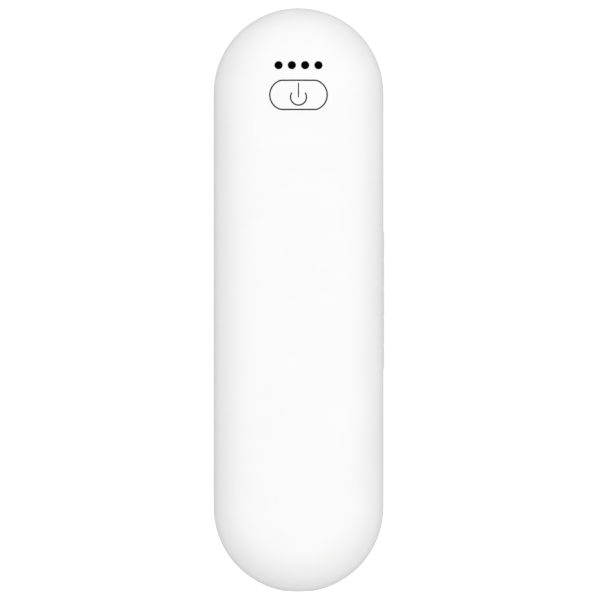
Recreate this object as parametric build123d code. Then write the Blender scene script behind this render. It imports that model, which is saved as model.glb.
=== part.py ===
from build123d import *
from math import acos, cos, degrees, radians, sin, tan
import os

# Toothbrush sanitizer: a pill-shaped clamshell case that shines UV-C light on the brushes inside.
#
# The back half is the base. It lies on its flat and holds the brush tray. The front half is the lid. It
# carries the power button, four indicators, the lamp panel, the circuit board, the battery and the charging
# port, and it swings on a five-knuckle hinge along the right-hand side.
#
# Lengths are millimetres and angles are degrees. +Y points to the head end, where the button is, +X to the
# hinge, and +Z out of the front. The pieces are drawn with the parting plane of the two halves at z = 0.
# The base's pieces are drawn upwards like the lid's and turned over. Everything is lifted by half the
# thickness when it is written, so the finished part lies on z = 0.

# ---------------------------------------------------------------- driving dimensions: the case
LENGTH = 213.0
WIDTH = 62.0
THICKNESS = 36.0
WALL = 2.0                # both covers
RIM_GAP = 0.1             # each rim stands this far off the parting plane
RIM_CHAMFER = 0.4
SIDE_RADIUS = 10.0        # a cover's section is a side arc, a shoulder arc and a crown arc, each tangent
SHOULDER_RADIUS = 20.0
CROWN_RADIUS = 120.0      # the front is slightly crowned and the back is flat
SHOULDER_START = 40.0     # direction from the parting plane at which the side arc ends
PUSH_FIT = 0.05           # between plastic pieces that are pushed together
SCOOP_DEPTH = 0.9         # thumb scoop on the opening side
SCOOP_RADIUS = 30.0

# hinge
BARREL_RADIUS = 1.7
BARREL_PROUD = 0.5        # how far the barrel stands out of the side
COVE_RADIUS = 2.0         # hollow round the other half's knuckles
HINGE_TAIL = -27.1        # ends of the barrel along Y
HINGE_HEAD = 25.2
HINGE_TAPER = (0.7, 2.6)  # of the barrel's tail end: how much narrower, over what length
KNUCKLES = 5
KNUCKLE_GAP = 0.3
PIN_RADIUS = 0.75
PIN_INSET = 2.0           # blind end of the pin's bore
RELIEF_ANGLE = 51.5       # slope of each rim beside the hinge, a little over half the opening

# screws
SCREW_CORE = 0.85         # shank of every thread-forming screw
PILOT = SCREW_CORE + 0.03
BOSS_RADIUS = 2.1
SINK_HEIGHT = 0.9         # height of a countersunk head
SINK_RADIUS = 1.7
SINK_DEPTH = 0.15         # the head's face lies this far inside its flange
LINER_SCREW_INSET = 4.3   # from the side of the case to the screws of the tray and the panel
LINER_SCREW_Y = 40.0
LINER_SCREW_TURN = 50.0   # direction from +X of the screws round each end

# brush tray
LINER = 1.5               # wall of the tray and of the lamp panel
FLANGE = 1.6
CHAMBER_HALF = 21.5
CHAMBER_DEPTH = 13.5
CHAMBER_FILLET = 9.0
LIP_HEIGHT = 0.7          # light-tight lip, past the parting plane
LIP_WALL = 1.0
DRIP_RIB_X = 4.0          # two low ribs keep wet handles off the floor
DRIP_RIB_HALF_Y = 30.0
FLOOR_SHEET = 0.4         # floor reflector
FLOOR_SHEET_START = 44.0

# brush rests
REST_THICK = 5.0
REST_TOP = 3.0            # below the parting plane
BRUSH_X = 10.0            # each brush lies this far from the middle
NECK_Y = 38.0
HANDLE_Y = -40.0
PEG_RADIUS = 1.5
PEG_X = 12.5

# latch magnets and the magnet that tells the lid it is shut
MAGNET_SIZE = (2.6, 10.0, 2.0)
MAGNET_X = -26.8
MAGNET_Y = 19.0
MAGNET_FLOOR = 0.8
POCKET_HEIGHT = 3.2
SENSE_X = -26.0
SENSE_Y = 62.0
SENSE_RADIUS = 2.0

# lamp panel
RECESS_HALF = 23.0        # hollow over the brushes
RECESS_STEP = 1.0         # its ceiling beside the charging port
RECESS_TOP = 5.0          # its ceiling over the brushes
RECESS_START = -78.0
RECESS_CORNER = 8.0
RECESS_FILLET = 3.0
WINDOW_HALF_X = 6.5
WINDOW_HALF_Y = 20.0
WINDOW_LEDGE = 1.3
WINDOW_THICK = 0.9
CEILING_SHEET = 0.3       # ceiling reflector
CEILING_SHEET_START = 36.0
LAMP_Y = 62.0             # middle of the row of UV-C lamps
LAMP_PITCH = 12.0
LAMPS = 3

# button and indicators
BUTTON_Y = 73.4
BUTTON_HALF_X = 10.03
BUTTON_HALF_Y = 4.98
BUTTON_END_RADIUS = 5.2   # its ends are a little flatter than half circles
BUTTON_SOFTENING = 2.8    # radius where an end meets a side
BUTTON_TRAVEL = 0.5
BUTTON_BASE = 14.3        # underside of the button
BUTTON_BRIM = 1.3         # how far its brim reaches past the opening
RING_GAP = 0.06
RING_WALL = 0.44
ICON_Y = BUTTON_Y - 0.82  # centre of the power symbol's ring
ICON_RADIUS = 2.85
ICON_GAP = 59.5           # direction from the bar at which the ring stops
ICON_LINE = 0.52
ICON_BAR = (-0.15, 5.15)  # ends of the bar, from the ring's centre
ICON_BAR_LINE = 0.42
ICON_DEPTH = 0.15
INDICATOR_Y = 84.05
INDICATOR_PITCH = 4.76
INDICATOR_RADIUS = 1.45
INDICATORS = 4
GUIDE_BASE = 13.6
GUIDE_TOP = 15.0

# circuit board
BOARD_BASE = 9.3
BOARD_THICK = 1.2
BOARD_HALF = 21.0
BOARD_START = 34.0
SWITCH_HEIGHT = 2.8
SWITCH_FLOOR = 0.9
STEM_RADIUS = 1.6
SOCKET_X = 9.0            # battery socket at +X, charging socket at -X
CHIP_PIN_PITCH = 1.27

# charging port, a USB Type-C receptacle
PORT_HALF_X = 4.47
PORT_HALF_Z = 1.6
PORT_Z = 5.4
PORT_FRONT = -105.2
PORT_DEPTH = 7.3
PORT_SHELL = 0.3
PORT_BACK = 0.8
PORT_BOARD_THICK = 1.0

# battery and leads
BATTERY_HALF_X = 15.0
BATTERY_Y = (-64.0, -2.0)
BATTERY_THICK = 5.5
TAPE_THICK = 0.3
LEAD_DIAMETER = 1.1
LEAD_SPREAD = 1.0         # from the middle of a pair to either lead

# ---------------------------------------------------------------- sizes that follow
END_Y = (LENGTH - WIDTH) / 2                       # centres of the round ends
HALF_WIDTH = WIDTH / 2
HALF_THICK = THICKNESS / 2
INNER_HALF = HALF_WIDTH - WALL
SIDE_X = HALF_WIDTH - SIDE_RADIUS                  # centre of the side arc
SHOULDER_X = SIDE_X - (SHOULDER_RADIUS - SIDE_RADIUS) * cos(radians(SHOULDER_START))
SHOULDER_DROP = (SHOULDER_RADIUS - SIDE_RADIUS) * sin(radians(SHOULDER_START))
CROWN_START = degrees(acos(SHOULDER_X / (CROWN_RADIUS - SHOULDER_RADIUS)))
CROWN_DROP = (CROWN_RADIUS - SHOULDER_RADIUS) * sin(radians(CROWN_START))
AXIS_X = HALF_WIDTH + BARREL_PROUD - BARREL_RADIUS
FLANGE_HALF = INNER_HALF - 0.1
FLANGE_TOP = RIM_GAP + FLANGE
PANEL_TOP = RECESS_TOP + LINER
BOARD_TOP = BOARD_BASE + BOARD_THICK
PLUNGER_TOP = BOARD_TOP + SWITCH_HEIGHT + 0.6
RING_HALF_X = BUTTON_HALF_X + RING_GAP + RING_WALL
RING_HALF_Y = BUTTON_HALF_Y + RING_GAP + RING_WALL
PORT_BOARD_BASE = PORT_Z + PORT_HALF_Z
PORT_BOARD_TOP = PORT_BOARD_BASE + PORT_BOARD_THICK
BATTERY_BASE = PANEL_TOP + TAPE_THICK
HIGH = 2 * HALF_THICK                              # past the top of everything


# ---------------------------------------------------------------- shapes used throughout
def block(x0, x1, y0, y1, z0, z1):
    return Pos((x0 + x1) / 2, (y0 + y1) / 2, (z0 + z1) / 2) * Box(x1 - x0, y1 - y0, z1 - z0)


def block_at(x, y, size_x, size_y, z0, z1):
    return block(x - size_x / 2, x + size_x / 2, y - size_y / 2, y + size_y / 2, z0, z1)


def rod(x, y, z0, z1, radius):
    """A cylinder along Z."""
    return Pos(x, y, (z0 + z1) / 2) * Cylinder(radius, z1 - z0)


def rod_y(x, z, y0, y1, radius):
    """A cylinder along Y."""
    return Pos(x, (y0 + y1) / 2, z) * Rot(90, 0, 0) * Cylinder(radius, y1 - y0)


def bar_y(points, y0, y1):
    """A prism along Y whose section has these (x, z) corners."""
    section = Plane.XZ * make_face(Polyline(*points, close=True))
    return Pos(0, y1, 0) * extrude(section, y1 - y0)


def cone_up(x, y, z, radius, top_radius, height):
    return Pos(x, y, z) * Cone(radius, top_radius, height, align=(Align.CENTER, Align.CENTER, Align.MIN))


def obround(y, half_x, half_y, z0, z1):
    """A prism along Z with round ends, centred on x = 0."""
    turn = 90 if half_y > half_x else 0
    outline = SlotOverall(2 * max(half_x, half_y), 2 * min(half_x, half_y), rotation=turn)
    return Pos(0, y, z0) * extrude(outline, z1 - z0)


def stadium(half_width, z0, z1):
    """The case's own outline, with its round ends about the same centres."""
    return obround(0, half_width, END_Y + half_width, z0, z1)


def toward_head(y):
    """Everything on the head side of y."""
    return block(-WIDTH, WIDTH, y, LENGTH, -HIGH, HIGH)


def upright_edges(shape):
    return shape.edges().filter_by(Axis.Z)


def tail_corners(shape):
    """The two upright edges nearest the handle end."""
    return upright_edges(shape).sort_by(Axis.Y)[:2]


def top_edges(shape):
    return shape.edges().group_by(Axis.Z)[-1]


def turned_over(shape):
    """Takes a piece of the base from the way it is drawn to where it belongs."""
    return mirror(shape, about=Plane.XY)


def group(shapes):
    """Separate solids that share one node."""
    return Compound([solid for shape in shapes for solid in shape.solids()])


def half_section(inset, crowned, rim, rim_chamfer):
    """Right-hand half of a cover's section, offset inwards by inset, as a face in the XZ plane."""
    side = HALF_WIDTH - inset
    top = HALF_THICK - inset
    crown_z = HALF_THICK - CROWN_RADIUS
    shoulder_z = crown_z + CROWN_DROP if crowned else HALF_THICK - SHOULDER_RADIUS
    shoulder_end = CROWN_START if crowned else 90.0
    side_z = shoulder_z + SHOULDER_DROP
    shoulder_centre = (SHOULDER_X, shoulder_z)
    edges = [
        CenterArc((SIDE_X, side_z), SIDE_RADIUS - inset, 0, SHOULDER_START),
        CenterArc(shoulder_centre, SHOULDER_RADIUS - inset, SHOULDER_START, shoulder_end - SHOULDER_START),
    ]
    if crowned:
        edges.append(CenterArc((0, crown_z), CROWN_RADIUS - inset, CROWN_START, 90 - CROWN_START))
    else:
        edges.append(Line((SHOULDER_X, top), (0, top)))
    corners = [(0, top), (0, rim), (side - rim_chamfer, rim)]
    if rim_chamfer:
        corners.append((side, rim + rim_chamfer))
    corners.append((side, side_z))
    edges.extend(Line(start, end) for start, end in zip(corners, corners[1:]))
    return Plane.XZ * make_face(edges)


def dome(inset, crowned=True, rim=-1.0, rim_chamfer=0.0):
    """Everything at least inset below a cover's outer surface, from the rim up."""
    section = Pos(0, END_Y, 0) * half_section(inset, crowned, rim, rim_chamfer)
    side = extrude(section, 2 * END_Y)
    end = revolve(section, Axis((0, END_Y, 0), (0, 0, 1)), 180)
    return side + mirror(side, about=Plane.YZ) + end + mirror(end, about=Plane.XZ)


def front_skin(inset):
    """The part of dome(inset) round the button and the indicators."""
    reach = HALF_WIDTH / 2
    return dome(inset) & block(-reach, reach, BUTTON_Y - 10, INDICATOR_Y + 6, HALF_THICK / 2, HIGH)


# ---------------------------------------------------------------- screws
def cross_recess(z, reach, depth):
    arm = Box(2 * reach, 0.45, 2 * depth)
    return Pos(0, 0, z) * (arm + Rot(0, 0, 90) * arm)


def countersunk_screw(length=6.5):
    """Points along +Z, with the face of its head at the origin."""
    head = cone_up(0, 0, 0, SINK_RADIUS, SCREW_CORE, SINK_HEIGHT)
    shank = rod(0, 0, SINK_HEIGHT, length, SCREW_CORE)
    tip = cone_up(0, 0, length, SCREW_CORE, 0.2, 0.8)
    return head + shank + tip - cross_recess(0, 1.0, 0.45)


def pan_screw(length):
    """Points along +Z, with the underside of its head at the origin."""
    head = rod(0, 0, -1.0, 0, 1.6)
    head = fillet(head.edges().group_by(Axis.Z)[0], 0.5)
    return head + rod(0, 0, 0, length, SCREW_CORE) - cross_recess(-1.0, 0.95, 0.5)


def screws(screw, places, z):
    """One screw at each place, each left at its own angle by the screwdriver."""
    return group([Pos(x, y, z) * Rot(0, 0, 37 * i) * screw for i, (x, y) in enumerate(places)])


def liner_screw_places():
    ring = HALF_WIDTH - LINER_SCREW_INSET
    places = [(ring * side, LINER_SCREW_Y * end) for side in (1, -1) for end in (1, -1)]
    across = ring * cos(radians(LINER_SCREW_TURN))
    along = END_Y + ring * sin(radians(LINER_SCREW_TURN))
    return places + [(across * side, along * end) for side in (1, -1) for end in (1, -1)]


def board_screw_places():
    return [(x * side, y) for x, y in ((17.5, 38.5), (14.5, 87.5)) for side in (1, -1)]


def port_screw_places():
    return [(5.6 * side, -88.0) for side in (1, -1)]


# ---------------------------------------------------------------- hinge
def knuckle_spans():
    """The ends of each knuckle along Y, and whether it belongs to the base."""
    pitch = (HINGE_HEAD - HINGE_TAIL) / KNUCKLES
    spans = []
    for i in range(KNUCKLES):
        start = HINGE_TAIL + i * pitch
        low = start + (KNUCKLE_GAP / 2 if i > 0 else 0)
        high = start + pitch - (KNUCKLE_GAP / 2 if i < KNUCKLES - 1 else 0)
        spans.append((low, high, i % 2 == 0))
    return spans


def hinge_relief():
    """Wedge outside the hinge axis that lets the two rims swing past each other."""
    reach = 4.0
    rise = reach * tan(radians(RELIEF_ANGLE))
    corners = [(AXIS_X, 0), (AXIS_X + reach, rise), (AXIS_X + reach, -rise)]
    return bar_y(corners, -(END_Y + 15), END_Y + 15)


def knuckle(low, high, up):
    """A barrel and the gusset that carries it inside the wall. up is 1 in the lid and -1 in the base."""
    barrel = rod_y(AXIS_X, 0, low, high, BARREL_RADIUS)
    if low == HINGE_TAIL:
        tail = barrel.faces().sort_by(Axis.Y)[0]
        barrel = chamfer(tail.edges(), *HINGE_TAPER, reference=tail)
    inner = AXIS_X - BARREL_RADIUS
    corners = [(inner, 0), (AXIS_X, 0), (AXIS_X, 6 * up), (INNER_HALF + 0.1, 6 * up), (inner, 2.5 * up)]
    return barrel + bar_y(corners, low, high)


def with_hinge(cover, in_base):
    """Cuts the relief and the coves in a cover, and adds its own knuckles with their bore."""
    cover = cover - hinge_relief()
    for low, high, base_owns in knuckle_spans():
        if base_owns != in_base:
            cover = cover - rod_y(AXIS_X, 0, low - KNUCKLE_GAP, high + KNUCKLE_GAP, COVE_RADIUS)
    for low, high, base_owns in knuckle_spans():
        if base_owns == in_base:
            cover = cover + knuckle(low, high, -1 if in_base else 1)
    bore = PIN_RADIUS + (0.02 if in_base else 0.05)
    return cover - rod_y(AXIS_X, 0, HINGE_TAIL + PIN_INSET, HINGE_HEAD + 1, bore)


def make_hinge_pin():
    pin = rod_y(AXIS_X, 0, HINGE_TAIL + PIN_INSET + 0.1, HINGE_HEAD - 0.1, PIN_RADIUS)
    return chamfer(pin.edges().filter_by(GeomType.CIRCLE), 0.1)


# ---------------------------------------------------------------- covers
def thumb_scoop():
    """Shallow scallop across the parting line on the opening side, where a thumb lifts the lid."""
    centre_x = -(HALF_WIDTH - SCOOP_DEPTH + SCOOP_RADIUS)
    corners = [(SCOOP_RADIUS - 6, 6.8), (SCOOP_RADIUS, 0.8), (SCOOP_RADIUS, -0.8), (SCOOP_RADIUS - 6, -6.8)]
    section = Plane.XZ * make_face(Polyline(*corners, close=True))
    return Pos(centre_x, 0, 0) * revolve(section, Axis.Z, 360)


def shell(crowned):
    """A plain cover with its eight screw bosses, each tied to the wall by a rib."""
    cover = dome(0, crowned, RIM_GAP, RIM_CHAMFER) - dome(WALL, crowned)
    posts = []
    for x, y in liner_screw_places():
        wall_centre = max(-END_Y, min(END_Y, y))
        outward = Vector(x, y - wall_centre, 0)
        turn = Vector(1, 0, 0).get_signed_angle(outward)
        rib = Pos(x, y, 0) * Rot(0, 0, turn) * block(0, 4, -0.7, 0.7, FLANGE_TOP, HALF_THICK)
        posts.append(rod(x, y, FLANGE_TOP, HALF_THICK, BOSS_RADIUS) + rib)
    cover = cover + [post & dome(WALL / 2, crowned) for post in posts]
    return cover - [rod(x, y, 0, FLANGE_TOP + 6.6, PILOT) for x, y in liner_screw_places()]


def make_front_cover():
    cover = shell(crowned=True)
    posts = [rod(x, y, BOARD_TOP, HALF_THICK, BOSS_RADIUS) for x, y in board_screw_places()]
    posts += [rod(x, y, PORT_BOARD_TOP, HALF_THICK, BOSS_RADIUS) for x, y in port_screw_places()]
    cover = cover + [post & dome(WALL / 2) for post in posts]
    cover = cover - [rod(x, y, BOARD_TOP, BOARD_TOP + 4.3, PILOT) for x, y in board_screw_places()]
    cover = cover - [rod(x, y, PORT_BOARD_TOP, PORT_BOARD_TOP + 3.4, PILOT) for x, y in port_screw_places()]
    cover = cover - button_prism(RING_GAP + RING_WALL, HALF_THICK / 2, HIGH)
    pin_hole = INDICATOR_RADIUS + PUSH_FIT
    cover = cover - [rod(x, INDICATOR_Y, HALF_THICK / 2, HIGH, pin_hole) for x in indicator_x()]
    return with_hinge(cover, in_base=False) - thumb_scoop() - port_mouth()


def make_back_cover():
    cover = shell(crowned=False)
    for y in (-60.0, 0.0, 60.0):
        rib = block(-16, 16, y - 0.8, y + 0.8, CHAMBER_DEPTH + LINER + PUSH_FIT, HALF_THICK)
        cover = cover + (rib & dome(WALL / 2, crowned=False))
    return with_hinge(turned_over(cover), in_base=True) - thumb_scoop()


# ---------------------------------------------------------------- brush tray
def liner_flange():
    """Plate that closes a cover, from the rim gap up, cut back at the hinge and drilled for its screws."""
    plate = stadium(FLANGE_HALF, RIM_GAP, FLANGE_TOP)
    plate = plate - block(AXIS_X - 2.4, HALF_WIDTH, HINGE_TAIL - 0.6, HINGE_HEAD + 0.6, 0, HIGH)
    sink_z = RIM_GAP + SINK_DEPTH
    for x, y in liner_screw_places():
        plate = plate - rod(x, y, 0, sink_z, SINK_RADIUS + PUSH_FIT)
        plate = plate - cone_up(x, y, sink_z, SINK_RADIUS + PUSH_FIT, SCREW_CORE + PUSH_FIT, SINK_HEIGHT)
        plate = plate - rod(x, y, 0, HIGH, SCREW_CORE + 0.1)
    return plate


def magnet_walls():
    """Blocks on the back of a flange that the latch magnets' pockets are cut in."""
    outer, inner = -(FLANGE_HALF - 0.1), -(RECESS_HALF + LINER / 2)
    return [block(outer, inner, y - 6, y + 6, FLANGE_TOP - 1, MAGNET_FLOOR + POCKET_HEIGHT)
            for y in (MAGNET_Y, -MAGNET_Y)]


def magnet_bars(height, spare):
    size_x, size_y = MAGNET_SIZE[0] + spare, MAGNET_SIZE[1] + spare
    return [block_at(MAGNET_X, y, size_x, size_y, MAGNET_FLOOR, MAGNET_FLOOR + height)
            for y in (MAGNET_Y, -MAGNET_Y)]


def make_lid_magnets():
    return group([fillet(upright_edges(bar), 0.3) for bar in magnet_bars(MAGNET_SIZE[2], 0)])


def make_sense_magnet():
    return turned_over(rod(SENSE_X, SENSE_Y, MAGNET_FLOOR, MAGNET_FLOOR + 2, SENSE_RADIUS))


def bowl(inset, z0):
    """The brush chamber, offset inwards by inset, drawn upwards from z0 to its floor."""
    shape = stadium(CHAMBER_HALF - inset, z0, CHAMBER_DEPTH - inset)
    return fillet(top_edges(shape), CHAMBER_FILLET - inset)


def peg_places():
    return [(x, y) for y in (NECK_Y, HANDLE_Y) for x in (-PEG_X, 0, PEG_X)]


def make_brush_tray():
    tray = liner_flange() + magnet_walls() + bowl(-LINER, RIM_GAP)
    tray = tray + stadium(CHAMBER_HALF + LIP_WALL, -LIP_HEIGHT, FLANGE_TOP)
    tray = tray + rod(SENSE_X, SENSE_Y, RIM_GAP, MAGNET_FLOOR + POCKET_HEIGHT, SENSE_RADIUS + 0.7)
    tray = tray - bowl(0, -LIP_HEIGHT - 1) - magnet_bars(POCKET_HEIGHT, 2 * PUSH_FIT)
    tray = tray - rod(SENSE_X, SENSE_Y, MAGNET_FLOOR, HIGH, SENSE_RADIUS + PUSH_FIT)
    for x in (-DRIP_RIB_X, DRIP_RIB_X):
        rib = block_at(x, 0, 1.2, 2 * DRIP_RIB_HALF_Y, CHAMBER_DEPTH - 1, CHAMBER_DEPTH + 0.5)
        tray = tray + fillet(upright_edges(rib), 0.5)
    tray = tray - [rod(x, y, CHAMBER_DEPTH - 1, HIGH, PEG_RADIUS) for x, y in peg_places()]
    return turned_over(tray)


def make_floor_reflector():
    """Bright trough that lies in the tray under the brush heads."""
    trough = bowl(PUSH_FIT / 2, 4.0) - bowl(FLOOR_SHEET, 2.0)
    return turned_over(trough & toward_head(FLOOR_SHEET_START))


def make_rest(y, axis_depth, radius, mouth):
    """Silicone saddle across the chamber, with a U-shaped notch for each of two brushes."""
    low, high = y - REST_THICK / 2, y + REST_THICK / 2
    body = bowl(PUSH_FIT, REST_TOP) & block(-WIDTH, WIDTH, low, high, 0, HIGH)
    for x in (-BRUSH_X, BRUSH_X):
        body = body - rod_y(x, axis_depth, low - 1, high + 1, radius)
        body = body - block(x - mouth, x + mouth, low - 1, high + 1, 0, axis_depth)
        lead_in = [(x - radius, REST_TOP - 1), (x + radius, REST_TOP - 1), (x + mouth, REST_TOP + 1.4),
                   (x - mouth, REST_TOP + 1.4)]
        body = body - bar_y(lead_in, low - 1, high + 1)
    pegs = [rod(peg_x, peg_y, CHAMBER_DEPTH - 0.5, CHAMBER_DEPTH + LINER - 0.1, PEG_RADIUS - 0.02)
            for peg_x, peg_y in peg_places() if peg_y == y]
    return turned_over(body + pegs)


# ---------------------------------------------------------------- lamp panel
def recess(inset, z0, z1):
    """The deep hollow of the lamp panel, offset inwards by inset."""
    hollow = stadium(RECESS_HALF - inset, z0, z1) & toward_head(RECESS_START + inset)
    hollow = fillet(tail_corners(hollow), RECESS_CORNER - inset)
    return fillet(top_edges(hollow), RECESS_FILLET - inset)


def window(spare, z0, z1):
    return obround(LAMP_Y, WINDOW_HALF_X + spare, WINDOW_HALF_Y + spare, z0, z1)


def make_lamp_panel():
    panel = liner_flange() + magnet_walls()
    panel = panel + stadium(RECESS_HALF + LINER, RIM_GAP, RECESS_STEP + LINER)
    panel = panel + recess(-LINER, RIM_GAP, PANEL_TOP)
    panel = panel - stadium(RECESS_HALF, -1, RECESS_STEP) - recess(0, -1, RECESS_TOP)
    panel = panel - magnet_bars(POCKET_HEIGHT, 2 * PUSH_FIT)
    panel = panel - window(0, 0, HIGH) - window(WINDOW_LEDGE, PANEL_TOP - WINDOW_THICK, HIGH)
    return panel - [rod(x, y, FLANGE_TOP, HIGH, BOSS_RADIUS + PUSH_FIT) for x, y in liner_screw_places()]


def make_uv_window():
    pane = window(WINDOW_LEDGE - PUSH_FIT, PANEL_TOP - WINDOW_THICK, PANEL_TOP)
    return chamfer(pane.edges().group_by(Axis.Z)[0], 0.15)


def make_ceiling_reflector():
    """Bright sheet stuck to the lamp panel over the brush heads, with the window cut out of it."""
    sheet = stadium(RECESS_HALF - RECESS_FILLET - 0.2, RECESS_TOP - CEILING_SHEET, RECESS_TOP)
    sheet = sheet & toward_head(CEILING_SHEET_START)
    return fillet(tail_corners(sheet), 4.0) - window(0.6, 0, HIGH)


def make_lamp_reflector():
    """Funnel between the board and the window that gathers the light of the lamps."""
    top = BOARD_BASE - 0.1
    height = top - PANEL_TOP
    throat = SlotOverall(2 * (WINDOW_HALF_Y - height), 2 * (WINDOW_HALF_X - height), rotation=90)
    funnel = Pos(0, LAMP_Y, top) * extrude(throat, -height, taper=-45)
    return window(2.6, PANEL_TOP, top) - funnel


# ---------------------------------------------------------------- button and indicators
def indicator_x():
    return [INDICATOR_PITCH * (i - (INDICATORS - 1) / 2) for i in range(INDICATORS)]


def icon_prism():
    """The power symbol: a ring open at the head end, with a bar in the opening."""
    ring = trace(CenterArc((0, 0), ICON_RADIUS, 90 + ICON_GAP, 360 - 2 * ICON_GAP), ICON_LINE)
    for angle in (90 + ICON_GAP, 90 - ICON_GAP):
        tip = (ICON_RADIUS * cos(radians(angle)), ICON_RADIUS * sin(radians(angle)))
        ring = ring + Pos(*tip) * Circle(ICON_LINE / 2)
    bar = Pos(0, sum(ICON_BAR) / 2) * SlotOverall(ICON_BAR[1] - ICON_BAR[0], ICON_BAR_LINE, rotation=90)
    return Pos(0, ICON_Y, HALF_THICK - 2) * extrude(ring + bar, 3)


def button_prism(spare, z0, z1):
    """A prism along Z with the button's outline, spare larger all round."""
    length = 2 * (BUTTON_HALF_X + spare)
    outline = SlotOverall(length, 2 * (BUTTON_END_RADIUS + spare))
    outline = outline & Rectangle(length, 2 * (BUTTON_HALF_Y + spare))
    outline = fillet(outline.vertices(), BUTTON_SOFTENING + spare)
    return Pos(0, BUTTON_Y, z0) * extrude(outline, z1 - z0)


def make_power_button():
    cap = button_prism(0, BUTTON_BASE, HIGH) & front_skin(0)
    cap = fillet(cap.edges().filter_by(lambda edge: edge.center().Z > HALF_THICK - 1.5), 0.12)
    brim_x, brim_y = RING_HALF_X + BUTTON_BRIM, RING_HALF_Y + BUTTON_BRIM
    brim = obround(BUTTON_Y, brim_x, brim_y, BUTTON_BASE, HIGH) & front_skin(WALL + 0.12)
    button = cap + brim - obround(BUTTON_Y, 8.0, 3.2, BUTTON_BASE, BUTTON_BASE + 0.9)
    button = button + rod(0, BUTTON_Y, PLUNGER_TOP, BUTTON_BASE + 1, STEM_RADIUS)
    return button - (icon_prism() - front_skin(ICON_DEPTH))


def make_power_icon():
    """Dark inlay that fills the symbol's groove to just under the button's face."""
    return (icon_prism() & front_skin(0.03)) - front_skin(ICON_DEPTH)


def make_button_ring():
    """Soft dark seal moulded into the opening. The button slides in it."""
    ring = button_prism(RING_GAP + RING_WALL, HALF_THICK / 2, HIGH) & front_skin(0.04)
    return ring - front_skin(WALL) - button_prism(RING_GAP, 0, HIGH)


def make_light_guide():
    """Smoked bar behind the cover, with four pins that show as the indicators."""
    reach = indicator_x()[-1] + 2.3
    guide = obround(INDICATOR_Y, reach, 1.9, GUIDE_BASE, GUIDE_TOP)
    for x in indicator_x():
        guide = guide + (rod(x, INDICATOR_Y, GUIDE_TOP - 0.2, HIGH, INDICATOR_RADIUS) & front_skin(0.05))
        guide = guide + rod(x, INDICATOR_Y, GUIDE_BASE - 1.7, GUIDE_BASE + 0.1, 1.2)
    return guide


def make_light_baffle():
    """Black block that keeps each indicator's light in its own pin."""
    baffle = block_at(0, INDICATOR_Y, 2 * (indicator_x()[-1] + 2.3), 4.6, BOARD_TOP + 0.05, GUIDE_BASE)
    baffle = fillet(upright_edges(baffle), 0.6)
    return baffle - [rod(x, INDICATOR_Y, 0, HIGH, 1.6) for x in indicator_x()]


# ---------------------------------------------------------------- circuit board and what is on it
def make_main_board():
    plate = stadium(BOARD_HALF, BOARD_BASE, BOARD_TOP) & toward_head(BOARD_START)
    plate = fillet(tail_corners(plate), 2.0)
    return plate - [rod(x, y, 0, HIGH, 1.1) for x, y in board_screw_places()]


def make_switch_body():
    body = block_at(0, BUTTON_Y, 6, 6, BOARD_TOP, BOARD_TOP + SWITCH_HEIGHT)
    body = fillet(upright_edges(body), 0.4)
    body = body - rod(0, BUTTON_Y, BOARD_TOP + SWITCH_FLOOR, HIGH, STEM_RADIUS + RING_GAP)
    return body + [block_at(3.4 * side, BUTTON_Y + 2.2 * end, 1.2, 0.7, BOARD_TOP, BOARD_TOP + 0.4)
                   for side in (1, -1) for end in (1, -1)]


def make_switch_plunger():
    stem = rod(0, BUTTON_Y, BOARD_TOP + SWITCH_FLOOR + BUTTON_TRAVEL + 0.1, PLUNGER_TOP, STEM_RADIUS)
    return chamfer(top_edges(stem), 0.2)


def make_indicator_leds():
    return group([block_at(x, INDICATOR_Y, 2.0, 1.25, BOARD_TOP, BOARD_TOP + 0.7) for x in indicator_x()])


def make_uv_lamps():
    """Surface-mounted UV-C emitters under the board, each a square ceramic frame round a die."""
    lamps = []
    for i in range(LAMPS):
        y = LAMP_Y + LAMP_PITCH * (i - (LAMPS - 1) / 2)
        frame = block_at(0, y, 3.5, 3.5, BOARD_BASE - 1.4, BOARD_BASE)
        well = fillet(upright_edges(block_at(0, y, 2.4, 2.4, BOARD_BASE - 2, BOARD_BASE - 0.9)), 0.3)
        lamps.append(frame - well + block_at(0, y, 1.0, 1.0, BOARD_BASE - 1.2, BOARD_BASE - 0.8))
    return group(lamps)


def make_chip(x, y, length, width, pins):
    """Chip on the board with a row of gull-wing pins along each long side, which runs along Y."""
    height = 1.5
    body = block_at(x, y, width, length, BOARD_TOP + 0.1, BOARD_TOP + height)
    body = chamfer(top_edges(body), 0.15)
    body = body - rod(x - width / 2 + 0.7, y + length / 2 - 0.7, BOARD_TOP + height - 0.1, HIGH, 0.3)
    for i in range(pins):
        pin_y = y + (i - (pins - 1) / 2) * CHIP_PIN_PITCH
        body = body + block_at(x, pin_y, width + 2.0, 0.4, BOARD_TOP, BOARD_TOP + 0.25)
    return body


def make_boost_coil():
    """Shielded inductor of the lamps' driver."""
    coil = block_at(12.0, 58.0, 5.0, 5.0, BOARD_TOP, BOARD_TOP + 3.0)
    coil = chamfer(upright_edges(coil), 0.9)
    return fillet(top_edges(coil), 0.3)


def make_small_components():
    """Resistors and capacitors: rows of small blocks, each (first x, first y, step x, step y, count)."""
    rows = [
        (-16.5, 47.0, 2.6, 0, 4),
        (6.0, 52.0, 0, 2.4, 4),
        (-14.0, 69.0, 2.6, 0, 3),
        (17.0, 54.0, 0, 2.6, 4),
    ]
    places = [(x + i * dx, y + i * dy) for x, y, dx, dy, count in rows for i in range(count)]
    return group([block_at(x, y, 1.2, 1.8, BOARD_TOP, BOARD_TOP + 0.8) for x, y in places])


def make_lid_sensor():
    """Hall sensor under the edge of the board, nearest to the tray's sensing magnet."""
    return block_at(2.0 - BOARD_HALF, SENSE_Y, 1.6, 2.9, BOARD_BASE - 1.1, BOARD_BASE)


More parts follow.
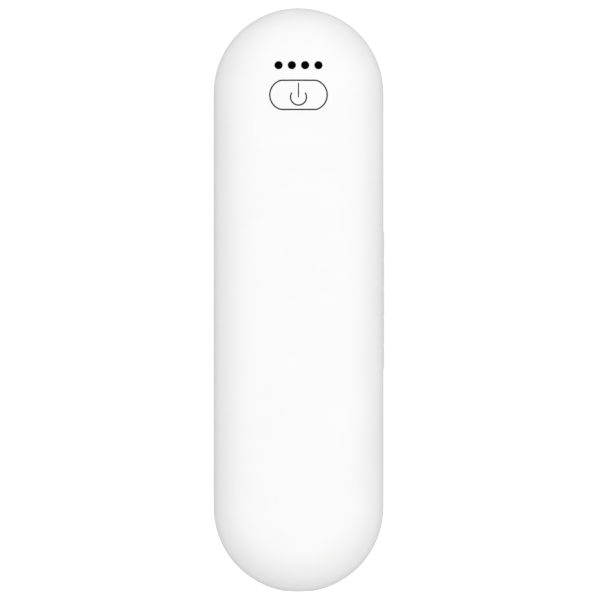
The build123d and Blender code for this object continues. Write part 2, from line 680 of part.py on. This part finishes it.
def make_board_sockets():
    sockets = []
    for x in (SOCKET_X, -SOCKET_X):
        housing = block(x - 3.0, x + 3.0, BOARD_START + 0.5, BOARD_START + 5.5, BOARD_TOP, BOARD_TOP + 3.4)
        mouth = block(x - 2.4, x + 2.4, BOARD_START, BOARD_START + 4.3, BOARD_TOP + 0.5, BOARD_TOP + 2.9)
        sockets.append(housing - mouth)
    return group(sockets)


def make_plug(x):
    y0, y1 = BOARD_START - 1.5, BOARD_START + 4.2
    return fillet(tail_corners(block(x - 2.35, x + 2.35, y0, y1, BOARD_TOP + 0.55, BOARD_TOP + 2.85)), 0.4)


# ---------------------------------------------------------------- charging port
def port_slot(spare, y0, y1):
    """The port's outline, made larger all round by spare, as a prism along Y."""
    section = Plane.XZ * SlotOverall(2 * (PORT_HALF_X + spare), 2 * (PORT_HALF_Z + spare))
    return Pos(0, y1, PORT_Z) * extrude(section, y1 - y0)


def port_mouth():
    """Opening in the cover: a close slot with a flared lead-in."""
    section = Plane.XZ * SlotOverall(2 * (PORT_HALF_X + 0.12), 2 * (PORT_HALF_Z + 0.12))
    flare = Pos(0, 0.7 - LENGTH / 2, PORT_Z) * extrude(section, 2.0, taper=-40)
    return port_slot(0.12, -LENGTH / 2 - 1, PORT_FRONT + 5) + flare


def make_charging_port():
    """Steel shell of the receptacle, open at the front."""
    end = PORT_FRONT + PORT_DEPTH
    return port_slot(0, PORT_FRONT, end) - port_slot(-PORT_SHELL, PORT_FRONT - 1, end - PORT_BACK)


def make_port_tongue():
    """Contact tongue on the block that holds it at the back of the shell."""
    end = PORT_FRONT + PORT_DEPTH - PORT_BACK
    tongue = block(-3.3, 3.3, PORT_FRONT + 0.9, end, PORT_Z - 0.35, PORT_Z + 0.35)
    return fillet(tail_corners(tongue), 0.6) + block(-3.6, 3.6, end - 1, end, PORT_Z - 0.9, PORT_Z + 0.9)


def make_port_board():
    plate = block(-8.0, 8.0, -101.3, -84.5, PORT_BOARD_BASE, PORT_BOARD_TOP)
    plate = fillet(upright_edges(plate), 1.2)
    return plate - [rod(x, y, 0, HIGH, 1.0) for x, y in port_screw_places()]


# ---------------------------------------------------------------- battery and leads
def make_battery_cell():
    """Lithium pouch cell, with its protection board folded along the head end."""
    low, high = BATTERY_Y
    top = BATTERY_BASE + BATTERY_THICK
    pouch = block(-BATTERY_HALF_X, BATTERY_HALF_X, low, high - 4, BATTERY_BASE, top)
    pouch = fillet(pouch.edges().filter_by(Axis.Y), 2.2)
    pouch = fillet(pouch.edges().group_by(Axis.Y)[0], 0.8)
    half = BATTERY_HALF_X - 2
    return pouch + block(-half, half, high - 4.5, high, BATTERY_BASE + 1.2, top - 1.2)


def make_battery_tape():
    return group([block_at(0, y, 24, 18, PANEL_TOP, BATTERY_BASE) for y in (-51.0, -19.0)])


def make_lead(name, middle, side):
    """One wire of a pair, beside the pair's middle line: straight runs joined by arcs, each as large as its
    runs allow. side is 1 to the right of the way the line runs and -1 to the left."""
    middle = [Vector(*point) for point in middle]
    ends = zip([middle[0], *middle[:-1]], [*middle[1:], middle[-1]])
    points = [point + (after - before).cross(Vector(0, 0, 1)).normalized() * LEAD_SPREAD * side
              for point, (before, after) in zip(middle, ends)]
    radii = [0.45 * min((b - a).length, (c - b).length) / tan(radians((b - a).get_angle(c - b) / 2))
             for a, b, c in zip(points, points[1:], points[2:])]
    path = FilletPolyline(*points, radius=radii)
    section = Plane(origin=path @ 0, z_dir=path % 0) * Circle(LEAD_DIAMETER / 2)
    wire = sweep(section, path)
    filled = wire.volume / (section.area * path.length)
    print(f"{name}: length {path.length:.1f}, radii {[round(r, 1) for r in radii]}, "
          f"volume over section times length {filled:.4f}")
    return wire


def battery_lead_line():
    """From the battery's protection board to its plug, as chosen by hand."""
    start, plug_y, plug_z = BATTERY_Y[1], BOARD_START - 1.5, BOARD_TOP + 1.7
    return [(0.6, start + 0.05, 9.6), (0.8, start + 5.5, 9.7), (3.2, 11.0, 10.6), (6.8, 18.5, 11.7),
            (SOCKET_X - 0.1, 25.5, plug_z), (SOCKET_X, plug_y, plug_z)]


def charge_lead_line():
    """From the port board round the battery to its plug, as chosen by hand."""
    start_z, plug_y, plug_z = PORT_BOARD_TOP + LEAD_DIAMETER / 2 + 0.05, BOARD_START - 1.5, BOARD_TOP + 1.7
    return [(-0.8, -88.0, start_z), (-1.4, -82.0, 8.9), (-7.5, -74.5, 9.2), (-15.4, -69.5, 9.0),
            (-18.8, -59.5, 8.8), (-19.2, -44.0, 8.7), (-19.0, -26.0, 8.8), (-18.3, -8.0, 9.2),
            (-15.6, 6.0, 10.2), (-11.2, 16.5, 11.5), (0.1 - SOCKET_X, 25.0, plug_z),
            (-SOCKET_X, plug_y, plug_z)]


# ---------------------------------------------------------------- the whole object
def make_parts():
    liner_screws = screws(countersunk_screw(), liner_screw_places(), RIM_GAP + SINK_DEPTH)
    return {
        # base
        "back_cover": make_back_cover(),
        "brush_tray": make_brush_tray(),
        "tray_screws": turned_over(liner_screws),
        "floor_reflector": make_floor_reflector(),
        "neck_rest": make_rest(NECK_Y, axis_depth=9.4, radius=3.3, mouth=2.6),
        "handle_rest": make_rest(HANDLE_Y, axis_depth=6.5, radius=6.0, mouth=5.2),
        "base_magnets": turned_over(make_lid_magnets()),
        "sense_magnet": make_sense_magnet(),
        "hinge_pin": make_hinge_pin(),
        # lid
        "front_cover": make_front_cover(),
        "lamp_panel": make_lamp_panel(),
        "panel_screws": liner_screws,
        "lid_magnets": make_lid_magnets(),
        "uv_window": make_uv_window(),
        "ceiling_reflector": make_ceiling_reflector(),
        "lamp_reflector": make_lamp_reflector(),
        "uv_lamps": make_uv_lamps(),
        "main_board": make_main_board(),
        "board_screws": screws(pan_screw(5.0), board_screw_places(), BOARD_BASE),
        "control_chip": make_chip(-10.0, 58.0, 9.9, 3.9, 7),
        "charge_chip": make_chip(12.0, 46.5, 4.9, 3.9, 4),
        "boost_coil": make_boost_coil(),
        "small_components": make_small_components(),
        "lid_sensor": make_lid_sensor(),
        "board_sockets": make_board_sockets(),
        "switch_body": make_switch_body(),
        "indicator_leds": make_indicator_leds(),
        "light_baffle": make_light_baffle(),
        "light_guide": make_light_guide(),
        "button_ring": make_button_ring(),
        "battery_cell": make_battery_cell(),
        "battery_tape": make_battery_tape(),
        "battery_plug": make_plug(SOCKET_X),
        "battery_lead_red": make_lead("battery_lead_red", battery_lead_line(), 1),
        "battery_lead_black": make_lead("battery_lead_black", battery_lead_line(), -1),
        "port_board": make_port_board(),
        "port_screws": screws(pan_screw(4.0), port_screw_places(), PORT_BOARD_BASE),
        "charging_port": make_charging_port(),
        "port_tongue": make_port_tongue(),
        "charge_plug": make_plug(-SOCKET_X),
        "charge_lead_red": make_lead("charge_lead_red", charge_lead_line(), 1),
        "charge_lead_black": make_lead("charge_lead_black", charge_lead_line(), -1),
        # button
        "power_button": make_power_button(),
        "power_icon": make_power_icon(),
        "switch_plunger": make_switch_plunger(),
    }


os.makedirs("parts", exist_ok=True)
for name, shape in make_parts().items():
    export_step(Pos(0, 0, HALF_THICK) * shape, f"parts/{name}.step")
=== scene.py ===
from math import cos, radians, sin

import bpy
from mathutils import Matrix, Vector


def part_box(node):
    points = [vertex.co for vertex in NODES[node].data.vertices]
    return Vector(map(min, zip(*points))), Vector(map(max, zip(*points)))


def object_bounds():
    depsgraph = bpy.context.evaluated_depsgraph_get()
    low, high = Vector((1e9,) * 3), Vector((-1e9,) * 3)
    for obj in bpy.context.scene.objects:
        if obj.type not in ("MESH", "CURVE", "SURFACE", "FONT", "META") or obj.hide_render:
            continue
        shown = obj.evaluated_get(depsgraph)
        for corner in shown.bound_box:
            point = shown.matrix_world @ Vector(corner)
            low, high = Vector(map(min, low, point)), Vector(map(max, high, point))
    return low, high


# The looks of the toothbrush sanitizer: a material for every CAD node, a pale stage, soft lights and a camera
# straight above the front. Every visible shape is the CAD's own, so nothing is added or replaced.
# Lengths are metres, and the case lies on z = 0 with its front up and its button end towards +Y.

# ---------------------------------------------------------------- the frame
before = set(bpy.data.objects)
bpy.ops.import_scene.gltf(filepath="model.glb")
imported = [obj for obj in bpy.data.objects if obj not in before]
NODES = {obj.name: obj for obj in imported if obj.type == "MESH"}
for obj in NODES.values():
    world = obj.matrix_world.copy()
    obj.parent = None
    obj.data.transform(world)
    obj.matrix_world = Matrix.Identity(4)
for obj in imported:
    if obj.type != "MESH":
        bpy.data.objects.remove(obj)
cad_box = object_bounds()

MM = 0.001

# ---------------------------------------------------------------- sizes, places and brightness
CAMERA_LENS = 112.8               # millimetres, on a sensor 36 mm wide
CAMERA_SENSOR = 36.0
CAMERA_PLACE = (0.54 * MM, 0.05 * MM, 690 * MM)      # from the middle of the case
SKY = ((0.0, 0.53), (0.5, 0.42), (1.0, 1.23))        # brightness straight below, level and straight above
SOFTBOXES = {                     # place, size and watts. Each faces the case.
    "rear": ((0.0, 1.6, 0.5), (1.2, 0.6), 2.05),
    "right": ((1.3, 0.2, 1.0), (0.8, 1.6), 3.46),
    "left": ((-1.3, 0.2, 1.0), (0.8, 1.6), 1.95),
}
STAGE_PAINTED_POOL = ((0.2, 0.87), (1.0, 0.56))             # distance from the case, and the tone painted there: a painted pool of light, white near the case, grey far off
STAGE_REACH = 8.0                 # distance past which the tone isn't worked out
STAGE_GLOW = 0.52                 # light that the floor gives itself, so that it stays white under the case
FLOOR_RADIUS = 5.0
WALL_BEND = 2.0                   # radius of the curve from the floor to the wall
WALL_TOP = 7.0
WALL_STEPS = 12                   # along that curve
WALL_SIDES = 72


def grey(value):
    return (value, value, value)


# ---------------------------------------------------------------- building blocks for the materials
class Finish:
    """One procedural material. Sizes are metres on the object, so each grain has its real scale."""

    def __init__(self, name, **sockets):
        self.material = bpy.data.materials.new(name)
        self.material.use_nodes = True
        self.tree = self.material.node_tree
        self.tree.nodes.clear()
        self.shader = self.node("ShaderNodeBsdfPrincipled")
        output = self.node("ShaderNodeOutputMaterial")
        self.link(self.shader.outputs["BSDF"], output.inputs["Surface"])
        self.place = self.node("ShaderNodeTexCoord").outputs["Object"]
        self.normal = None
        for socket, value in sockets.items():
            self.shader.inputs[socket.replace("_", " ")].default_value = value

    def node(self, kind, **settings):
        made = self.tree.nodes.new(kind)
        for name, value in settings.items():
            setattr(made, name, value)
        return made

    def link(self, source, target):
        self.tree.links.new(source, target)

    def scaled(self, size):
        """Object coordinates counted in cells of that size, which may differ along each axis."""
        mapping = self.node("ShaderNodeMapping")
        cell = size if isinstance(size, tuple) else (size, size, size)
        mapping.inputs["Scale"].default_value = [1 / s for s in cell]
        self.link(self.place, mapping.inputs["Vector"])
        return mapping.outputs["Vector"]

    def noise(self, size, detail=3.0):
        """Cloudy values between 0 and 1, mostly near a half."""
        texture = self.node("ShaderNodeTexNoise")
        texture.inputs["Scale"].default_value = 1.0
        texture.inputs["Detail"].default_value = detail
        texture.inputs["Roughness"].default_value = 0.55
        self.link(self.scaled(size), texture.inputs["Vector"])
        return texture.outputs["Fac"]

    def cells(self, size, output="Distance", feature="F1"):
        """A pattern of irregular cells."""
        texture = self.node("ShaderNodeTexVoronoi", feature=feature)
        texture.inputs["Scale"].default_value = 1.0
        self.link(self.scaled(size), texture.inputs["Vector"])
        return texture.outputs[output]

    def along(self, axis):
        """The object coordinate along X, Y or Z, in metres."""
        split = self.node("ShaderNodeSeparateXYZ")
        self.link(self.place, split.inputs["Vector"])
        return split.outputs[axis]

    def math(self, operation, first, second=None):
        """One step of arithmetic on values that vary over the surface."""
        made = self.node("ShaderNodeMath", operation=operation)
        for socket, value in zip(made.inputs, (first, second)):
            if isinstance(value, (int, float)):
                socket.default_value = value
            elif value is not None:
                self.link(value, socket)
        return made.outputs["Value"]

    def between(self, axis, low, high):
        """1 where the coordinate lies between two planes, otherwise 0."""
        over = self.math("GREATER_THAN", self.along(axis), low)
        under = self.math("LESS_THAN", self.along(axis), high)
        return self.math("MULTIPLY", over, under)

    def spread(self, source, low, high, source_low=0.3, source_high=0.7):
        """The value, from source_low to source_high, spread between low and high and held there."""
        made = self.node("ShaderNodeMapRange")
        made.inputs["From Min"].default_value = source_low
        made.inputs["From Max"].default_value = source_high
        made.inputs["To Min"].default_value = low
        made.inputs["To Max"].default_value = high
        self.link(source, made.inputs["Value"])
        return made.outputs["Result"]

    def ramp(self, source, stops, interpolation="LINEAR"):
        """Colours along a value: stops is a list of (value, colour)."""
        made = self.node("ShaderNodeValToRGB")
        made.color_ramp.interpolation = interpolation
        elements = made.color_ramp.elements
        while len(elements) < len(stops):
            elements.new(0.5)
        for element, (at, colour) in zip(elements, stops):
            element.position = at
            element.color = (*colour, 1.0)
        self.link(source, made.inputs["Fac"])
        return made.outputs["Color"]

    def mix(self, mask, first, second):
        """Two colours that vary, mixed by a mask."""
        made = self.node("ShaderNodeMix", data_type="RGBA")
        self.link(mask, made.inputs["Factor"])
        self.link(first, made.inputs["A"])
        self.link(second, made.inputs["B"])
        return made.outputs["Result"]

    def paint(self, colour):
        """Takes the base colour from a node."""
        self.link(colour, self.shader.inputs["Base Color"])
        return self

    def tone(self, size, dark, light):
        """The colour drifts between two close tones."""
        return self.paint(self.ramp(self.noise(size), [(0.35, dark), (0.65, light)]))

    def gloss(self, size, smooth, rough):
        """The roughness drifts between two values."""
        self.link(self.spread(self.noise(size), smooth, rough), self.shader.inputs["Roughness"])
        return self

    def relief(self, height, depth):
        """Adds one layer of bump, depth metres deep, over the layers before it."""
        bump = self.node("ShaderNodeBump")
        bump.inputs["Strength"].default_value = 1.0
        bump.inputs["Distance"].default_value = depth
        self.link(height, bump.inputs["Height"])
        if self.normal is not None:
            self.link(self.normal, bump.inputs["Normal"])
        self.normal = bump.outputs["Normal"]
        self.link(self.normal, self.shader.inputs["Normal"])
        return self

    def grain(self, size, depth, detail=3.0):
        """A layer of bump from noise."""
        return self.relief(self.noise(size, detail), depth)


def dress(finish, *names):
    """Gives CAD nodes a material."""
    for name in names:
        mesh = NODES[name].data
        mesh.materials.clear()
        mesh.materials.append(finish.material)


# ---------------------------------------------------------------- moulded plastics and rubbers
def case_plastic():
    """Satin white ABS with the fine skin that spark erosion leaves in the mould."""
    finish = Finish("case_plastic", IOR=1.53)
    finish.tone(18 * MM, (0.874, 0.873, 0.872), (0.890, 0.889, 0.888))
    finish.gloss(2.5 * MM, 0.40, 0.48)
    finish.grain(35 * MM, 0.008 * MM, detail=1.0)
    return finish.grain(0.13 * MM, 0.003 * MM, detail=2.0)


def liner_plastic():
    """Polished white plastic that faces the lamps, with faint flow lines along the moulding."""
    finish = Finish("liner_plastic", IOR=1.53)
    finish.tone(25 * MM, (0.785, 0.792, 0.798), (0.805, 0.811, 0.816))
    finish.gloss(9 * MM, 0.28, 0.34)
    return finish.grain((3 * MM, 30 * MM, 3 * MM), 0.004 * MM, detail=1.0)


def milky_silicone():
    """Soft translucent rubber with a dusty skin."""
    finish = Finish("milky_silicone", IOR=1.41, Subsurface_Weight=0.25, Subsurface_Scale=2 * MM,
                    Sheen_Weight=0.12, Sheen_Roughness=0.4)
    finish.tone(4 * MM, (0.50, 0.56, 0.59), (0.56, 0.61, 0.64))
    finish.gloss(0.8 * MM, 0.48, 0.62)
    return finish.grain(0.09 * MM, 0.006 * MM, detail=2.0)


def soft_seal():
    """Matt black rubber round the button."""
    finish = Finish("soft_seal", IOR=1.45, Specular_IOR_Level=0.1)
    finish.tone(1.2 * MM, grey(0.006), grey(0.011))
    finish.gloss(0.5 * MM, 0.50, 0.65)
    return finish.grain(0.06 * MM, 0.004 * MM)


def icon_inlay():
    """Black plastic moulded into the button's symbol."""
    finish = Finish("icon_inlay", IOR=1.5, Specular_IOR_Level=0.1)
    finish.tone(0.8 * MM, grey(0.008), grey(0.014))
    finish.gloss(0.4 * MM, 0.40, 0.52)
    return finish.grain(0.05 * MM, 0.003 * MM)


def smoked_guide():
    """Polished acrylic that looks black until the light behind it is on."""
    finish = Finish("smoked_guide", IOR=1.49, Specular_IOR_Level=0.012)
    finish.tone(0.9 * MM, grey(0.0003), grey(0.0007))
    finish.gloss(0.7 * MM, 0.06, 0.14)
    return finish.grain(0.5 * MM, 0.0008 * MM)


def moulding(name, dark, light, smooth=0.42, rough=0.58):
    """A small injection-moulded or pressed piece."""
    finish = Finish(name, IOR=1.52, Specular_IOR_Level=0.4)
    finish.tone(1.5 * MM, dark, light)
    finish.gloss(0.6 * MM, smooth, rough)
    return finish.grain(0.07 * MM, 0.004 * MM)


def foam_tape():
    """Closed-cell foam: pale, matt and pitted."""
    finish = Finish("foam_tape", Specular_IOR_Level=0.2)
    bubbles = finish.cells(0.35 * MM)
    finish.paint(finish.ramp(bubbles, [(0.1, (0.50, 0.50, 0.47)), (0.5, (0.78, 0.78, 0.74))]))
    finish.gloss(0.5 * MM, 0.80, 0.95)
    return finish.relief(bubbles, 0.05 * MM)


def lead_insulation(name, dark, light):
    """Drawn vinyl over stranded wire, whose lay shows faintly."""
    finish = Finish(name, IOR=1.5)
    finish.tone(3 * MM, dark, light)
    finish.gloss(1.0 * MM, 0.32, 0.45)
    return finish.grain((0.3 * MM, 1.2 * MM, 0.3 * MM), 0.01 * MM)


# ---------------------------------------------------------------- metals and glass
def plated_screws():
    """Zinc-plated steel, brushed by the tumbling barrel."""
    finish = Finish("plated_screws", Metallic=1.0)
    finish.tone(0.9 * MM, (0.52, 0.52, 0.53), (0.64, 0.64, 0.66))
    finish.gloss(0.35 * MM, 0.20, 0.36)
    return finish.grain((0.5 * MM, 0.05 * MM, 0.5 * MM), 0.0015 * MM)


def ground_steel():
    """The hinge pin, ground across its length."""
    finish = Finish("ground_steel", Metallic=1.0)
    finish.tone(3 * MM, (0.56, 0.56, 0.57), (0.66, 0.66, 0.68))
    finish.gloss((0.2 * MM, 0.04 * MM, 0.2 * MM), 0.16, 0.30)
    return finish.grain((0.4 * MM, 0.03 * MM, 0.4 * MM), 0.001 * MM)


def drawn_shell():
    """Stainless sheet drawn into the port's shell, streaked along the draw."""
    finish = Finish("drawn_shell", Metallic=1.0)
    finish.tone((0.6 * MM, 6 * MM, 0.6 * MM), (0.58, 0.58, 0.60), (0.68, 0.68, 0.70))
    finish.gloss((0.08 * MM, 2 * MM, 0.08 * MM), 0.18, 0.34)
    return finish.grain((0.05 * MM, 2 * MM, 0.05 * MM), 0.0015 * MM)


def nickel_plate():
    """Bright, slightly warm plating on the magnets."""
    finish = Finish("nickel_plate", Metallic=1.0)
    finish.tone(2 * MM, (0.62, 0.60, 0.56), (0.70, 0.68, 0.64))
    finish.gloss(0.8 * MM, 0.12, 0.24)
    return finish.grain(0.25 * MM, 0.002 * MM)


def rolled_reflector():
    """Bright aluminium sheet with the fine lines of the rolling mill along it."""
    finish = Finish("rolled_reflector", Metallic=1.0)
    finish.tone((1.5 * MM, 40 * MM, 1.5 * MM), (0.80, 0.81, 0.82), (0.88, 0.885, 0.89))
    finish.gloss((0.12 * MM, 8 * MM, 0.12 * MM), 0.14, 0.30)
    finish.grain(22 * MM, 0.05 * MM, detail=1.0)
    return finish.grain((0.08 * MM, 6 * MM, 0.08 * MM), 0.0012 * MM)


def fused_quartz():
    """Clear window, slightly cloudy in places from polishing."""
    finish = Finish("fused_quartz", IOR=1.46, Transmission_Weight=1.0)
    finish.tone(6 * MM, (0.93, 0.96, 0.98), (0.98, 0.99, 1.0))
    finish.gloss(4 * MM, 0.01, 0.05)
    return finish.grain(14 * MM, 0.003 * MM, detail=1.0)


def battery_pouch():
    """Aluminium laminate, softly creased by the cell inside it."""
    finish = Finish("battery_pouch", Metallic=0.75)
    finish.tone(5 * MM, (0.58, 0.59, 0.60), (0.68, 0.69, 0.70))
    finish.gloss(1.5 * MM, 0.26, 0.40)
    finish.grain((7 * MM, 3 * MM, 7 * MM), 0.12 * MM, detail=2.0)
    return finish.grain(0.12 * MM, 0.002 * MM)


# ---------------------------------------------------------------- the electronics
def solder_mask():
    """Green board: lighter where copper lies under the mask, with the glass weave showing faintly."""
    finish = Finish("solder_mask", IOR=1.5, Coat_Weight=0.3, Coat_Roughness=0.12)
    gaps = finish.cells((2.6 * MM, 0.9 * MM, 2.0 * MM), feature="DISTANCE_TO_EDGE")
    copper = finish.math("GREATER_THAN", gaps, 0.09)
    weave = finish.noise(0.5 * MM)
    bare = finish.ramp(weave, [(0.3, (0.006, 0.060, 0.026)), (0.7, (0.010, 0.085, 0.038))])
    covered = finish.ramp(weave, [(0.3, (0.014, 0.150, 0.062)), (0.7, (0.020, 0.185, 0.080))])
    finish.paint(finish.mix(copper, bare, covered))
    finish.gloss(1.2 * MM, 0.24, 0.36)
    return finish.relief(copper, 0.02 * MM)


def wound_ferrite():
    """Dark grainy ferrite of the coil's shield."""
    finish = Finish("wound_ferrite", IOR=1.6)
    grains = finish.cells(0.2 * MM)
    finish.paint(finish.ramp(grains, [(0.1, grey(0.018)), (0.7, grey(0.050))]))
    finish.gloss(0.4 * MM, 0.50, 0.66)
    return finish.relief(grains, 0.01 * MM)


def chip_components():
    """Ceramic bodies of several kinds: each lies in its own cell, which picks its colour."""
    finish = Finish("chip_components", IOR=1.6)
    split = finish.node("ShaderNodeSeparateColor")
    finish.link(finish.cells(3 * MM, output="Color"), split.inputs["Color"])
    brown, tan, black = (0.30, 0.19, 0.10), (0.42, 0.33, 0.24), (0.05, 0.05, 0.055)
    finish.paint(finish.ramp(split.outputs["Red"], [(0.35, brown), (0.5, tan), (0.7, black)]))
    finish.gloss(0.3 * MM, 0.28, 0.42)
    return finish.grain(0.08 * MM, 0.003 * MM)


def fired_ceramic():
    """Cream ceramic frames of the lamps and the LEDs."""
    finish = Finish("fired_ceramic", IOR=1.7)
    finish.tone(0.7 * MM, (0.74, 0.70, 0.58), (0.82, 0.79, 0.68))
    finish.gloss(0.3 * MM, 0.22, 0.36)
    return finish.grain(0.06 * MM, 0.003 * MM)


def contact_tongue():
    """Black tongue with a row of gilded contacts on both faces."""
    contact_pitch, contact_half_width, row_half_length = 0.5 * MM, 0.14 * MM, 2.7 * MM
    contact_start, contact_end = 0.5 * MM, 3.2 * MM
    low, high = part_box("port_tongue")
    middle = (low.x + high.x) / 2
    finish = Finish("contact_tongue", IOR=1.52)
    row = finish.math("PINGPONG", finish.along("X"), contact_pitch / 2)
    stripe = finish.math("LESS_THAN", row, contact_half_width)
    inside = finish.between("X", middle - row_half_length, middle + row_half_length)
    reach = finish.between("Y", low.y + contact_start, low.y + contact_end)
    gilt = finish.math("MULTIPLY", finish.math("MULTIPLY", stripe, inside), reach)
    black = finish.ramp(finish.noise(0.4 * MM), [(0.3, grey(0.012)), (0.7, grey(0.022))])
    gold = finish.ramp(finish.noise(0.2 * MM), [(0.3, (0.78, 0.54, 0.20)), (0.7, (0.88, 0.66, 0.30))])
    finish.paint(finish.mix(gilt, black, gold))
    finish.link(gilt, finish.shader.inputs["Metallic"])
    finish.gloss(0.3 * MM, 0.22, 0.36)
    return finish.relief(gilt, 0.02 * MM)


# ---------------------------------------------------------------- the stage, the lights and the camera
def stage_paper():
    """Pale, matt stage cover carrying a painted pool of light: white round the case and a light grey far
    behind it. The painted tone also sets its glow.
    """
    finish = Finish("stage_paper", Specular_IOR_Level=0.0, Emission_Strength=STAGE_GLOW)
    length = finish.node("ShaderNodeVectorMath", operation="LENGTH")
    finish.link(finish.place, length.inputs[0])
    distance = finish.spread(length.outputs["Value"], 0.0, 1.0, 0.0, STAGE_REACH)
    # painted pool of light: colour and glow fall from white round the case to grey far away, standing in for
    # light that fades with distance
    painted_pool_shades = [
        finish.ramp(distance, [(far / STAGE_REACH, grey(tone + step)) for far, tone in STAGE_PAINTED_POOL], "EASE")
        for step in (-0.01, 0.01)
    ]
    painted_pool_tone = finish.mix(finish.noise(60 * MM), *painted_pool_shades)
    finish.link(painted_pool_tone, finish.shader.inputs["Emission Color"])
    return finish.paint(painted_pool_tone).gloss(5 * MM, 0.85, 0.95)


def make_stage():
    """A round floor that curves up into a wall far from the case. It catches shadows, and throws no light on
    the case. Returns a collection that keeps the softboxes' light off it, because their pools would show."""
    turns = [radians(90) * i / WALL_STEPS for i in range(WALL_STEPS + 1)]
    profile = [(FLOOR_RADIUS + WALL_BEND * sin(turn), WALL_BEND * (1 - cos(turn))) for turn in turns]
    profile.append((FLOOR_RADIUS + WALL_BEND, WALL_TOP))
    angles = [radians(360) * i / WALL_SIDES for i in range(WALL_SIDES)]
    points = [(radius * cos(a), radius * sin(a), height) for radius, height in profile for a in angles]
    faces = [tuple(range(WALL_SIDES))]
    for ring in range(len(profile) - 1):
        for side in range(WALL_SIDES):
            here = ring * WALL_SIDES + side
            beside = ring * WALL_SIDES + (side + 1) % WALL_SIDES
            faces.append((here, here + WALL_SIDES, beside + WALL_SIDES, beside))
    mesh = bpy.data.meshes.new("stage_floor")
    mesh.from_pydata(points, [], faces)
    mesh.shade_smooth()
    mesh.polygons[0].use_smooth = False
    mesh.materials.append(stage_paper().material)
    floor = bpy.data.objects.new("stage_floor", mesh)
    floor.visible_diffuse = False
    floor.visible_glossy = False
    floor.visible_shadow = False
    bpy.context.scene.collection.objects.link(floor)
    unlit = bpy.data.collections.new("unlit_by_softboxes")
    unlit.objects.link(floor)
    unlit.collection_objects[0].light_linking.link_state = "EXCLUDE"
    return unlit


def make_softbox(name, at, size, watts, unlit):
    """A soft rectangular panel that faces the case and that the camera doesn't see."""
    data = bpy.data.lights.new(name, "AREA")
    data.shape = "RECTANGLE"
    data.size, data.size_y = size
    data.energy = watts
    lamp = bpy.data.objects.new(name, data)
    lamp.location = at
    lamp.rotation_euler = (-Vector(at)).to_track_quat("-Z", "Y").to_euler()
    lamp.visible_camera = False
    lamp.light_linking.receiver_collection = unlit
    bpy.context.scene.collection.objects.link(lamp)


def make_sky():
    """Plain white light from all round, strongest from straight above."""
    world = bpy.data.worlds.new("studio")
    world.use_nodes = True
    tree = world.node_tree
    direction = tree.nodes.new("ShaderNodeTexCoord").outputs["Generated"]
    split = tree.nodes.new("ShaderNodeSeparateXYZ")
    tree.links.new(direction, split.inputs["Vector"])
    height = tree.nodes.new("ShaderNodeMapRange")
    height.inputs["From Min"].default_value = -1.0
    tree.links.new(split.outputs["Z"], height.inputs["Value"])
    ramp = tree.nodes.new("ShaderNodeValToRGB")
    elements = ramp.color_ramp.elements
    elements.new(0.5)
    for element, (at, light) in zip(elements, SKY):
        element.position = at
        element.color = (light, light, light, 1.0)
    tree.links.new(height.outputs["Result"], ramp.inputs["Fac"])
    tree.links.new(ramp.outputs["Color"], tree.nodes["Background"].inputs["Color"])
    bpy.context.scene.world = world


def make_camera():
    """Straight down on the front, from far enough to fit the case."""
    data = bpy.data.cameras.new("camera")
    data.lens = CAMERA_LENS
    data.sensor_width = CAMERA_SENSOR
    data.clip_start = 0.01
    data.clip_end = 50.0
    camera = bpy.data.objects.new("camera", data)
    across, along, up = CAMERA_PLACE
    middle = (cad_box[0].z + cad_box[1].z) / 2
    camera.location = (across, along, middle + up)
    bpy.context.scene.collection.objects.link(camera)
    bpy.context.scene.camera = camera


# ---------------------------------------------------------------- dressing the CAD nodes
dress(case_plastic(), "front_cover", "back_cover", "power_button")
dress(liner_plastic(), "brush_tray", "lamp_panel")
dress(milky_silicone(), "neck_rest", "handle_rest")
dress(soft_seal(), "button_ring")
dress(icon_inlay(), "power_icon")
dress(smoked_guide(), "light_guide")
dress(moulding("black_moulding", grey(0.014), grey(0.028)), "light_baffle", "lid_sensor", "switch_body")
dress(moulding("chip_package", grey(0.016), grey(0.030)), "control_chip", "charge_chip")
dress(moulding("plunger_plastic", (0.36, 0.03, 0.02), (0.44, 0.05, 0.03)), "switch_plunger")
dress(moulding("connector_nylon", (0.70, 0.68, 0.60), (0.78, 0.76, 0.69), 0.30, 0.42),
      "board_sockets", "battery_plug", "charge_plug")
dress(foam_tape(), "battery_tape")
dress(lead_insulation("red_lead", (0.34, 0.012, 0.010), (0.44, 0.022, 0.016)),
      "battery_lead_red", "charge_lead_red")
dress(lead_insulation("black_lead", grey(0.012), grey(0.024)), "battery_lead_black", "charge_lead_black")
dress(plated_screws(), "tray_screws", "panel_screws", "board_screws", "port_screws")
dress(ground_steel(), "hinge_pin")
dress(drawn_shell(), "charging_port")
dress(nickel_plate(), "base_magnets", "lid_magnets", "sense_magnet")
dress(rolled_reflector(), "floor_reflector", "ceiling_reflector", "lamp_reflector")
dress(fused_quartz(), "uv_window")
dress(battery_pouch(), "battery_cell")
dress(solder_mask(), "main_board", "port_board")
dress(wound_ferrite(), "boost_coil")
dress(chip_components(), "small_components")
dress(fired_ceramic(), "uv_lamps", "indicator_leds")
dress(contact_tongue(), "port_tongue")

unlit = make_stage()
make_sky()
for name, (at, size, watts) in SOFTBOXES.items():
    make_softbox(name, at, size, watts, unlit)
make_camera()
bpy.context.scene.view_settings.view_transform = "Standard"
